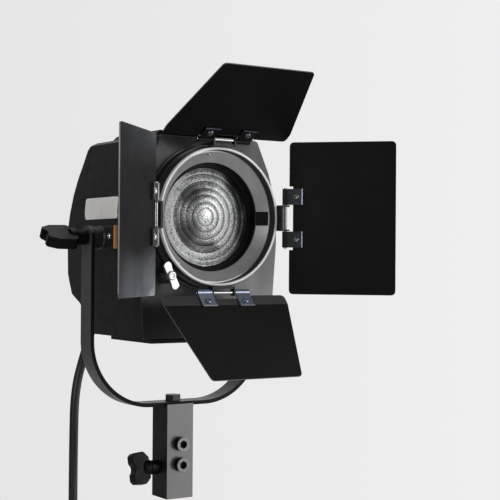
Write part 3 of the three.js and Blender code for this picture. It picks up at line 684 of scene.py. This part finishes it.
# plug: moulded body with grip ribs, a ribbed boot and two round pins with sleeves
px, py, pz = -39.5, 306, -532.4
plug_body = prism("y", rounded([(px - 20, pz - 62), (px + 20, pz - 62), (px + 22, pz - 40), (px + 12, pz - 22), (px - 12, pz - 22), (px - 22, pz - 40)], 5, 6), py - 13.6, py + 13.6)
boot = [(6.3, pz), (7.4, pz - 0.6)]
for k in range(5):
    z = pz - 2 - 4.6 * k
    r = 7.7 + 0.45 * k
    boot += [(r, z), (r, z - 2.6), (r - 0.9, z - 3.0), (r - 0.9, z - 4.2)]
boot += [(10, pz - 26), (0, pz - 26), (0, pz)]
boot_part = lathe([(0, pz)] + boot[:-1], 32, "z").tf(TR(px, py, 0))
pins = Part()
for s in (-9.5, 9.5):
    pins += rod("z", 2.4, pz - 81, pz - 61, (px + s, py), 24, 1.2).paint(1)
    pins += rod("z", 2.9, pz - 70, pz - 61, (px + s, py), 24, 0.3)
grips = Part()
for k in range(4):
    for s in (-1, 1):
        y0 = py + s * 13.6
        grips += box(px - 9, px + 9, min(y0, y0 + s * 0.0) - 0.35, y0 + 0.35, pz - 57 + 7 * k, pz - 54.4 + 7 * k)
plug = piece("plug_piece", plug_body + boot_part + pins + grips, ["plastic", "steel"], "yoke", "plug", bevel=1.1, seg=3, angle=40)

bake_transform(cord_obj)

# ------------------------------------------------------------------ head
for node, mat, bev in (("front_plate", "plate", 0.5), ("housing", "powder", 0.9), ("rear_cover", "cover", 1.6), ("vent_cover", "powder", 0.4),
                       ("base_plate", "powder", 0.8), ("tilt_stud", "steel", 0.4), ("pivot_bolt", "satin", 0.5), ("ring_latch", "satin", 0.3),
                       ("carriage", "bracket", 0.6), ("lamp_socket", "ceramic", 0.8)):
    dress(node, mat, bev)

# black matt seat with stepped baffles
seat = [(60.4, 31.5), (60.4, 34.5), (62.4, 34.5), (62.4, 46), (64.5, 46), (64.5, 31), (73, 31), (73, 28.6), (67, 28.6), (67, 25), (66.2, 25),
        (66.2, 26.2), (65.2, 26.2), (65.2, 27.8), (64.2, 27.8), (64.2, 29.4), (62.6, 29.4), (62.6, 30.6), (61.4, 30.6)]
piece("lens_seat_piece", lathe(seat, 128), "seat", "head", "lens_seat", sharp=30)

# fresnel lens: concentric steps towards the front, a low crown in the middle, flat stippled back
LY, LR = 35.0, 62.0
prof = [(0, 43), (61.2, 43), (LR, 42.2), (LR, LY + 0.9), (61.4, LY + 0.3), (60.2, LY + 0.3)]
edges = [60.0, 54.4, 45.5, 36.7, 28.5, 19.6, 12.0]
for i, r1 in enumerate(edges[:-1]):
    r0 = edges[i + 1]
    depth = min(3.6, 0.9 + 0.052 * r1)
    prof += [(r1 - 0.10, LY + depth), (r1 - 0.40, LY + depth + 0.02)]
    for k in range(1, 6):
        t = k / 6
        prof.append((r1 - 0.40 + (r0 + 0.55 - r1 + 0.40) * t, LY + depth - (depth - 0.25) * (1 - (1 - t) ** 1.5)))
    prof += [(r0 + 0.55, LY + 0.22), (r0 + 0.30, LY + 0.08), (r0 + 0.08, LY + 0.14)]
r1 = edges[-1]
prof += [(r1 - 0.10, LY + 1.5)]
for k in range(1, 9):
    t = k / 9
    prof.append((r1 * (1 - t), LY + 1.5 - 1.4 * sin(t * pi / 2)))
prof.append((0, LY + 0.08))
piece("lens_piece", lathe(prof, 160), "lens", "head", "lens", sharp=25)
piece("lens_retainer_piece", lathe([(57.3, 43.5), (57, 43.8), (57, 45.2), (57.3, 45.5), (61.7, 45.5), (62, 45.2), (62, 43.8), (61.7, 43.5)], 96), "steel", "head",
      "lens_retainer")

# carrier ring with three ears over the door ring's flange
carrier = lathe([(68, 22.6), (68, 24.7), (91, 24.7), (91, 22.6)], 144)
for a in (0, 90, 180):
    ear = prism("z", rounded([(88.4, 23.5), (91, 23.5), (91, 11.4), (85.4, 11.4), (85.4, 13.6), (88.4, 13.6)], [0, 0, 1.4, 0.4, 0.4, 0.8], 4), -6.5, 6.5)
    carrier += ear.tf(RY(-radians(a)))
carrier = csg(carrier, rod("y", 16, 20, 28, (-65, -71.5), 40, 0.1), "DIFFERENCE")
piece("ring_carrier_piece", carrier, "satin", "head", "ring_carrier", bevel=0.3)

# pivot plates, bosses
PIV = (111, -26)
for side, s in (("left", -1), ("right", 1)):
    pl = prism("x", rounded([(79, -41), (143, -41), (143, -11), (79, -11)], 3, 6), min(s * 100.6, s * 105.4), max(s * 100.6, s * 105.4), [circle(6.5, 32, 111, -26)])
    boss = lathe([(6.5, s * 105.3), (6.5, s * 119), (11.8, s * 119), (13, s * 117.8), (13, s * 107.4), (14.2, s * 105.9), (14.4, s * 105.3)], 64, "x").tf(TR(0, *PIV))
    screws = Part()
    for (y, z) in ((87.5, -24.3), (135, -26)):
        head = lathe([(0, 0.9), (1.3, 0.9), (1.45, 1.7), (3.0, 1.55), (3.6, 0.9), (3.7, 0.0), (0, 0.0)], 32, "x").tf(Matrix.Scale(s, 4, (1, 0, 0)))
        screws += head.tf(TR(s * 105.3, y, z)).paint(1)
    piece("pivot_plate_%s_piece" % side, pl + boss + screws, ["satin", "steel"], "head", "pivot_plate_" + side, bevel=0.5)
# amber gasket edge between the pivot plate and the housing, at its front end
piece("pivot_gasket", prism("x", rounded([(74.2, -39.6), (78.6, -39.6), (78.6, -11.4), (74.2, -11.4)], 0.8, 3), -104.2, -100.5), "amber", "head", (), bevel=0.3)

# blank label wrapped over the side wall's fold, with rounded corners
def wall_x(z):
    # the side wall's outer line, folded at z = 5.4
    return -99.35 + (z - 6.0) * (-0.65 / 8.6) if z < 6 else -99.35 + (z - 6.0) * (1.6 / 18.2)


cols = [77.0, 77.3, 78.0, 79.2, 81.0, 121.4, 161.8, 163.6, 164.8, 165.5, 165.8]


def label_span(y):
    # top and bottom of the rounded outline at y
    d = min(y - 77.0, 165.8 - y)
    k = 4.0 - math.sqrt(max(0.0, 16.0 - (4.0 - d) ** 2)) if d < 4.0 else 0.0
    return -2.6 + k, 24.2 - k


lv, lf = [], []
for off in (0.50, 0.78):
    for y in cols:
        lo, hi = label_span(y)
        for z in (lo, 6.0, hi):
            lv.append((wall_x(z) - off, y, z))
nc = len(cols)
for k in range(nc - 1):
    for r in (0, 1):
        q = (3 * k + r, 3 * k + 3 + r, 3 * k + 4 + r, 3 * k + 1 + r)
        lf += [q, tuple(i + 3 * nc for i in q)]
    for r in (0, 2):
        lf.append((3 * k + r, 3 * k + 3 + r, 3 * k + 3 + r + 3 * nc, 3 * k + r + 3 * nc))
for k in (0, nc - 1):
    for r in (0, 1):
        lf.append((3 * k + r, 3 * k + r + 1, 3 * k + r + 1 + 3 * nc, 3 * k + r + 3 * nc))
piece("blank_label", Part(lv, lf), "label", "head", (), sharp=60)

# gland: hexagon, lock ring and ribbed sleeve
gdir = Vector((0, 0.54, -0.8417)).normalized()
gat = Vector((-62, 191, -104.5))
gx = Vector((1, 0, 0))
gz = gx.cross(gdir)
GM = Matrix(((gx.x, gdir.x, gz.x, gat.x), (gx.y, gdir.y, gz.y, gat.y), (gx.z, gdir.z, gz.z, gat.z), (0, 0, 0, 1)))
hexa = prism("y", circle(12, 6), 5, 11)
sleeve = [(0, 9), (10.4, 9), (10.4, 12.4)]
for k in range(6):
    y, r = 13.4 + 4.0 * k, 10.2 - 0.30 * k
    sleeve += [(r - 1.0, y), (r - 1.0, y + 0.9), (r, y + 1.3), (r - 0.1, y + 3.0)]
sleeve += [(8.2, 38.2), (7.6, 39), (0, 39)]
gl = hexa + lathe(sleeve, 40) + rod("y", 7.9, -8, 6, (0, 0), 32)
piece("cord_gland_piece", gl.tf(GM), "rubber", "head", "cord_gland", bevel=0.35, angle=50)

# inside: rods, lead screw, lamp, reflector
for side, x in (("left", -26), ("right", 26)):
    piece("guide_rod_%s_piece" % side, rod("y", 4, 50, 212, (x, -60), 32, 0.8), "steel", "head", "guide_rod_" + side)
ls = [(0, 52), (2.4, 52)]
y = 53.0
while y < 210:
    ls += [(3, y), (3, y + 0.7), (2.4, y + 1.1), (2.4, y + 1.6)]
    y += 2.0
ls += [(3, 211), (3, 218.4), (2.5, 219), (0, 219)]
piece("lead_screw_piece", lathe(ls, 20).tf(TR(0, 0, -60)), "steel", "focus", "lead_screw", sharp=30)
env = [(0, -24), (7.2, -24), (9, -22), (9, 16)]
for k in range(1, 9):
    a = k / 8 * pi / 2
    env.append((9 * cos(a), 16 + 12 * sin(a)))
env[-1] = (0, 28)
lampg = lathe(env, 48, "z").tf(TR(0, 104, 0)) + box(-7, 7, 101, 107, -31.6, -23.5)
piece("lamp_piece", lampg, "lamp_glass", "carriage", "lamp", bevel=0.4, angle=60)
rp = []
for k in range(13):
    a = k / 12 * radians(62)
    rp.append((46 * sin(a), 98 + 46 * cos(a)))
for k in range(12, -1, -1):
    a = k / 12 * radians(62)
    rp.append((47.5 * sin(a), 98 + 47.5 * cos(a)))
rp[0], rp[-1] = (0, 144), (0, 145.5)
piece("reflector_piece", lathe(rp, 72) + box(-6, 6, 120.8, 123.6, -43.6, -38.5), "mirror", "carriage", "reflector", sharp=50)

# focus knob with flutes
fl = []
for i in range(96):
    a = 2 * pi * i / 96
    fl.append(((17 - 1.9 * max(0, cos(8 * a)) ** 3) * cos(a), -60 + (17 - 1.9 * max(0, cos(8 * a)) ** 3) * sin(a)))
knob = prism("y", fl, 227.2, 243)
skirt = lathe([(0, 224.6), (8.6, 224.6), (9, 225), (16.4, 226), (17, 226.6), (17, 228.4), (0, 228.4)], 64).tf(TR(0, 0, -60))
mark = box(-0.9, 0.9, 242.6, 243.25, -50, -44.6).paint(1)
piece("focus_knob_piece", knob + skirt + rod("y", 4.6, 219.3, 226, (0, -60), 24) + mark, ["plastic", "label"], "focus", "focus_knob", bevel=0.8, seg=3, angle=50)


def wing_knob(reach, stem, inner, neck, tip, run, drop):
    """Winged clamp knob with its axis along -X from x = 0."""
    core = lathe([(inner, -0.0), (inner, -14.0), (0, -14.0), (0, -24), (9.5, -24), (10.6, -22.8), (11.4, -15.4), (stem + 0.4, -13.6), (stem, -12.6), (stem, -1.0), (stem - 0.8, 0)], 56, "x")
    pts = [(-16, -13), (-neck, -reach), (run - tip, -reach + 1), (-tip, -reach + drop)]
    for k in range(13):
        a = radians(-50 + 100 * k / 12)
        pts.append((-tip - 5.4 + 8.6 * cos(a), 8.6 * sin(a)))
    pts += [(-tip, reach - drop), (run - tip, reach - 1), (-neck, reach), (-16, 13)]
    rr = [3, 4.5, 4, 3] + [0] * 13 + [3, 4, 4.5, 3]
    wing = prism("z", rounded(pts, rr, 6), -7, 7)
    return core, wing


for nm, body, at, turn, reach, stem, inner, grip in (("tilt_knob", "tilt_knob", (-124.9, 111, -26), 28, 20, 9.35, 6.4, (21, 56, 12, 7)),
                                                     ("clamp_knob", "clamp_knob", (-20.2, 111, -316), 75, 20.5, 9.0, 5.3, (23, 40, 3.5, 5))):
    core, wing = wing_knob(reach, stem, inner, *grip)
    m = TR(*at) @ RX(radians(turn))
    piece(nm + "_piece", (core + wing).tf(m), "plastic", body, nm, bevel=2.2, seg=4, angle=45)

# ------------------------------------------------------------------ barn door ring
ring_prof = [(81, 1.0), (81.15, 0.35), (81.6, 0.05), (82.5, 0.0), (83.4, 0.05), (83.85, 0.35), (84, 1.0), (84, 4.2), (84, 13.6), (84.4, 14), (87.1, 14), (87.5, 14.4),
             (87.5, 15.6), (87.1, 16), (81.4, 16), (81, 15.6)]
ring_part = lathe(ring_prof, 192)
for i, f in enumerate(ring_part.f):
    cy = sum(ring_part.v[k].y for k in f) / len(f)
    cr = sum(hypot(ring_part.v[k].x, ring_part.v[k].z) for k in f) / len(f)
    ring_part.m[i] = 0 if cy < 0.9 or (cr > 83.5 and cy < 4.4) else 1
piece("barndoor_ring_piece", ring_part, ["ring", "satin"], "ring", "barndoor_ring", sharp=40)
cone_prof = [(80.6, 11.2), (80.6, 14.2), (80.4, 14.4), (79.4, 14.4), (68.6, 22.2), (66.9, 22.2), (66.7, 22.0), (66.7, 21.5), (78.5, 11.6), (79.1, 11.05), (80.4, 11)]
piece("ring_cone_piece", lathe(cone_prof, 160), "cone", "ring", "ring_cone", sharp=40)
dress("filter_clip", "seat", 0.3)
# small fittings on the ring: two rivets
riv = Part()
for (x, z) in ((-54.0, -60.0), (-9.7, 77.7)):
    a = atan2(x, z)
    h = lathe([(0, 0.6), (2.6, 0.6), (2.6, 0), (2.4, -0.7), (1.6, -1.2), (0, -1.4)], 28)
    riv += h.tf(RY(a) @ TR(0, 12.9, 76.6) @ RX(radians(-38)))
piece("ring_rivets", riv, "steel", "ring", ())

OPEN = {"top": 37, "right": 44, "bottom": 51, "left": 46}
SIDE_H, SIDE_W, G, T = 189, 137.4, -4.9, 1.6
TOP_BASE, TOP_TIP, TOP_L, TOP_S = 87.6, 62.2, 125, 19
HY, HR = -5.8, 92
for name, turn in (("top", 0), ("right", 90), ("bottom", 180), ("left", 270)):
    dress("hinge_bracket_" + name, "black_edge", 0.5)
    door = RY(radians(turn))
    hinge = door @ TR(0, HY, HR)
    leaf_m = hinge @ RX(-radians(OPEN[name]))
    piece("hinge_rod_%s_piece" % name, rod("x", 2.1, -38, 38, (0, 0), 32, 0.6).tf(hinge), "rod", "ring" if "hinge_rod_" + name in frame["record"]["behaviour"]["bodies"]["ring"] else "leaf_" + name,
          "hinge_rod_" + name)
    N, D = 39.5, -9.6
    if name in ("left", "right"):
        out = [(-SIDE_H / 2, -SIDE_W), (SIDE_H / 2, -SIDE_W), (SIDE_H / 2, G), (N, G), (N, D), (-N, D), (-N, G), (-SIDE_H / 2, G)]
        rr = [6, 6, 6, 0.8, 0.8, 0.8, 0.8, 6]
    else:
        out = [(-TOP_TIP, -TOP_L), (TOP_TIP, -TOP_L), (TOP_BASE, -TOP_S), (TOP_BASE, G), (N, G), (N, D), (-N, D), (-N, G), (-TOP_BASE, G), (-TOP_BASE, -TOP_S)]
        rr = [6, 6, 4, 6, 0.8, 0.8, 0.8, 0.8, 6, 4]
    leaf = prism("z", rounded(out, rr, 8), -T / 2, T / 2, [circle(2.5, 20, -26.5, -14), circle(2.5, 20, 26.5, -14)], side=1, cap=0)
    mats = ["leaf_gloss" if name == "left" else "leaf", "leaf_edge_painted_highlight"]
    if name in ("top", "bottom"):
        # the base strip is folded up a little along a shallow crease
        bm = bmesh.new()
        vs = [bm.verts.new(v) for v in leaf.v]
        for f, k in zip(leaf.f, leaf.m):
            bm.faces.new([vs[i] for i in f]).material_index = k
        bmesh.ops.recalc_face_normals(bm, faces=bm.faces)
        bmesh.ops.bisect_plane(bm, geom=bm.verts[:] + bm.edges[:] + bm.faces[:], plane_co=(0, -TOP_S - 0.2, 0), plane_no=(0, 1, 0), dist=1e-4)
        bm.verts.index_update()
        for v in bm.verts:
            if v.co.y > -TOP_S - 0.2:
                v.co.z += (v.co.y + TOP_S + 0.2) * math.tan(radians(1.6))
        # strip faces go to slot 2, which on the bottom leaf is the lighter copy: painted sheen
        for f in bm.faces:
            c = f.calc_center_median()
            if c.y > -TOP_S - 0.2 and f.material_index == 0:
                f.material_index = 2
        leaf = Part([v.co.copy() for v in bm.verts], [tuple(v.index for v in f.verts) for f in bm.faces], [f.material_index for f in bm.faces])
        bm.free()
        # the bottom leaf takes the lighter copies: painted light on its panel, painted sheen on its folded strip
        mats = ["leaf", "leaf_edge_painted_highlight", "leaf"] if name == "top" else ["leaf_low", "leaf_edge_painted_highlight", "leaf_strip_painted_light"]
    piece("leaf_%s_piece" % name, leaf.tf(leaf_m), mats, "leaf_" + name, "leaf_" + name, bevel=0.22, seg=1, angle=50)
    for tag, s in (("a", -1), ("b", 1)):
        x0 = s * 26.5 - 10
        a0, a1 = atan2(-2.6, -math.sqrt(4.0 ** 2 - 2.6 ** 2)), pi + math.asin(1.2 / 4.0)
        arc = [(4.0 * cos(a0 + (a1 - a0) * k / 36), 4.0 * sin(a0 + (a1 - a0) * k / 36)) for k in range(37)]
        prof2 = [(-22.4, -3.9), (-21.0, -3.9), (-21.0, -3.0), (-20.6, -2.6)] + arc + [(-21.8, -1.2), (-22.4, -1.8)]
        sheet = prism("x", prof2, x0, x0 + 20, [circle(2.5, 28)])
        # lip faces go to slot 2, a lighter metal: painted highlight on the lip
        for i, f in enumerate(sheet.f):
            ys = [sheet.v[k].y for k in f]
            if max(ys) < -20.5:
                sheet.m[i] = 2
        cx = s * 26.5
        head = lathe([(0, -3.3), (1.5, -3.5), (1.75, -4.9), (2.5, -5.0), (3.5, -4.4), (4.0, -3.2), (4.0, -2.4), (0, -2.4)], 32, "z").tf(TR(cx, -14, 0)).paint(1)
        shank = rod("z", 2, -2.6, 4.2, (cx, -14), 20, 0.4).paint(1)
        nut = prism("z", circle(3.8, 6, cx, -14), 1.3, 4.0).paint(1)
        # one clip takes a finish per door, dark steel on the top and right, grey on the left, blue zinc on the bottom,
        # and its screw heads likewise: painted light and shade on the same part
        mats = {"bottom": ["zinc", "zinc", "clip_lip_painted_highlight"], "left": ["clip_grey", "steel", "clip_lip_painted_highlight"]}.get(name, ["clip", "screw", "zinc"])
        piece("hinge_clip_%s_%s_piece" % (name, tag), (sheet + head + shank + nut).tf(leaf_m), mats, "leaf_" + name, "hinge_clip_%s_%s" % (name, tag),
              bevel=0.28, seg=2, angle=50)

# wing screw
lobes = Part()
for s in (1, -1):
    lobes += prism("y", rounded([(s * x, s * z) for x, z in ((1, -4.2), (8, -4.8), (13.5, -6.2), (16.8, -4.2), (17.5, 0), (15.5, 4.2), (9, 4.4), (1, 4.2))], [0, 3, 3, 2, 3, 3, 4, 0], 5), -0.2, 3.4)
hub = lathe([(0, 27), (2.6, 27), (3, 26.4), (3, 6.6), (5.2, 6.6), (5.6, 6), (5.6, -1.4), (4.6, -2.6), (2.6, -2.6), (2.2, -2.1), (0, -2.1)], 32)
piece("wing_screw_piece", (lobes + hub).tf(TR(-65, 4, -71.5) @ RY(radians(62))), "wing", "wing_screw", "wing_screw", bevel=0.9, seg=3, angle=50)

# ------------------------------------------------------------------ yoke and stand bracket
YH, YT, YW, YB, YR = 124.5, 5, 28, -238, 85


def arc_line(half, r, bottom, top=-11):
    pts = [(-half, top)]
    for k in range(33):
        a = pi + k / 32 * pi / 2
        pts.append((-half + r + r * cos(a), bottom + r + r * sin(a)))
    for k in range(33):
        a = 1.5 * pi + k / 32 * pi / 2
        pts.append((half - r + r * cos(a), bottom + r + r * sin(a)))
    pts.append((half, top))
    return pts


u_bar = prism("y", arc_line(YH, YR, YB) + arc_line(YH - YT, YR - YT, YB + YT)[::-1], 111 - YW / 2, 111 + YW / 2)
top = [(111 - YW / 2, -260), (111 + YW / 2, -260)]
for k in range(25):
    a = k / 24 * pi
    top.append((111 + YW / 2 * cos(a), -25.5 + YW / 2 * sin(a)))
yoke = csg(u_bar, prism("x", top, -140, 140), "INTERSECT")
yoke = csg(yoke, rod("x", 6.5, -140, 140, PIV, 40, 0.1), "DIFFERENCE")
yoke = csg(yoke, rod("z", 6.5, -250, -220, (0, 111), 40, 0.1), "DIFFERENCE")
for i, f in enumerate(yoke.f):
    q = [yoke.v[k] for k in f]
    nrm = Vector((0, 0, 0))
    for a_, b_ in zip(q, q[1:] + q[:1]):
        nrm += a_.cross(b_)
    yoke.m[i] = 1 if abs(nrm.y) > 0.9 * nrm.length else 0
piece("yoke_piece", yoke, ["yoke", "seat"], "yoke", "yoke", bevel=0.7, seg=3, angle=40)
for node, mat, bev in (("stand_bracket", "bracket", 0.9), ("stand_receiver", "clip", 0.4), ("yoke_bolt", "satin", 0.6), ("yoke_nut", "steel", 0.4)):
    dress(node, mat, bev)
# faces turned to -X take the darker powder coat: painted shade on the side away from the light
_sb = NODES["stand_bracket"].data
_sb.materials.append(M["powder"])
for _p in _sb.polygons:
    if _p.normal.x < -0.9:
        _p.material_index = len(_sb.materials) - 1
for n, z in (("upper", -286), ("lower", -312)):
    kn = []
    for i in range(96):
        a = 2 * pi * i / 96
        r = 9.0 - (0.28 if i % 4 in (2, 3) else 0)
        kn.append((r * cos(a), z + r * sin(a)))
    hexh = circle(5.4, 6, 0, z, pi / 6)
    # front face in the lighter screw steel against the dark knurled sides: painted highlight; hex socket walls in matt
    # black: painted shade in the recess
    h1 = prism("y", kn, 83.0, 88.0, [hexh], side=0, cap=2)
    for i in range(len(h1.m) - 6, len(h1.m)):
        h1.m[i] = 1
    h2 = prism("y", kn, 88.0, 91.6, cap=1)
    sh = rod("y", 6, 91.2, 95.5, (0, z), 32)
    piece("cap_screw_%s_piece" % n, h1 + h2 + sh, ["clip", "seat", "screw"], "yoke", "cap_screw_" + n, bevel=0.35, seg=2, angle=65)
cs = [(0, -34), (4.4, -34)]
x = -33.2
while x < -10.5:
    cs += [(5, x), (5, x + 0.6), (4.4, x + 1.0), (4.4, x + 1.4)]
    x += 1.75
cs += [(5, -9.6), (4.2, -8.8), (0, -8.8)]
piece("clamp_screw_piece", lathe(cs, 24, "x").tf(TR(0, 111, -316)), "steel", "clamp_screw", "clamp_screw", sharp=30)

# ------------------------------------------------------------------ studio
def stage_floor():
    n = Nodes("studio_floor")
    c = n.mix(n.noise(3, 3), (0.70, 0.70, 0.695), (0.76, 0.76, 0.755))
    n.set(Base_Color=c, Roughness=0.8, Specular_IOR_Level=0.1, Normal=n.bump(n.noise(60, 3), 0.05, 0.001))
    me = bpy.data.meshes.new("floor")
    k, r = 96, 1.15
    me.from_pydata([(r * cos(2 * pi * i / k), r * sin(2 * pi * i / k), -0.30) for i in range(k)], [], [list(range(k))])
    me.materials.append(n.mat)
    o = bpy.data.objects.new("floor", me)
    scene.collection.objects.link(o)


stage_floor()

world = bpy.data.worlds.new("studio")
scene.world = world
world.use_nodes = True
wt = world.node_tree
for n in list(wt.nodes):
    wt.nodes.remove(n)
out = wt.nodes.new("ShaderNodeOutputWorld")
bg = wt.nodes.new("ShaderNodeBackground")
wt.links.new(bg.outputs[0], out.inputs[0])
tc = wt.nodes.new("ShaderNodeTexCoord").outputs["Generated"]


def lobe(direction, lo, hi, gain):
    d = wt.nodes.new("ShaderNodeVectorMath")
    d.operation = "DOT_PRODUCT"
    wt.links.new(tc, d.inputs[0])
    d.inputs[1].default_value = Vector(direction).normalized()
    m = wt.nodes.new("ShaderNodeMapRange")
    m.interpolation_type = "SMOOTHSTEP"
    wt.links.new(d.outputs["Value"], m.inputs["Value"])
    for k, v in (("From Min", lo), ("From Max", hi), ("To Min", 0), ("To Max", gain)):
        m.inputs[k].default_value = v
    return m.outputs["Result"]


total = None
for args in (((0, 0, 1), -1.2, -1.0, 0.10),
             ((0.60, 0.80, 0.0), 0.42, 0.90, 0.68),      # the bright wall behind
             ((0.834, -0.552, 0.0), -0.30, 0.30, 0.09),   # a little brighter to the right
             ((0.66, -0.75, -0.12), 0.72, 0.97, 1.5),     # broad window light from the front right
             ((0.3, 0.1, 0.95), 0.55, 0.95, 0.40),        # soft light above
             ((-0.8, 0.6, 0.1), 0.6, 0.95, 0.04)):        # faint return from the back left
    s = lobe(*args)
    if total is None:
        total = s
    else:
        a = wt.nodes.new("ShaderNodeMath")
        a.operation = "ADD"
        wt.links.new(total, a.inputs[0])
        wt.links.new(s, a.inputs[1])
        total = a.outputs[0]
wt.links.new(total, bg.inputs["Color"])
bg.inputs["Strength"].default_value = 1.0


def area(name, loc, target, size, power, colour=(1, 1, 1)):
    l = bpy.data.lights.new(name, "AREA")
    l.shape, l.size, l.energy, l.color = "DISK", size, power, colour
    o = bpy.data.objects.new(name, l)
    scene.collection.objects.link(o)
    o.location = loc
    o.rotation_mode = "QUATERNION"
    o.rotation_quaternion = (Vector(target) - Vector(loc)).to_track_quat("-Z", "Y")
    return o


area("key", (1.5, -1.9, 0.9), (0, 0, 0.25), 0.9, 14)
area("top", (0.2, 0.3, 2.2), (0, 0, 0.25), 1.2, 10)
area("left_fill", (-2.28, -1.15, 0.88), (-0.1, 0.1, 0.35), 1.1, 19)
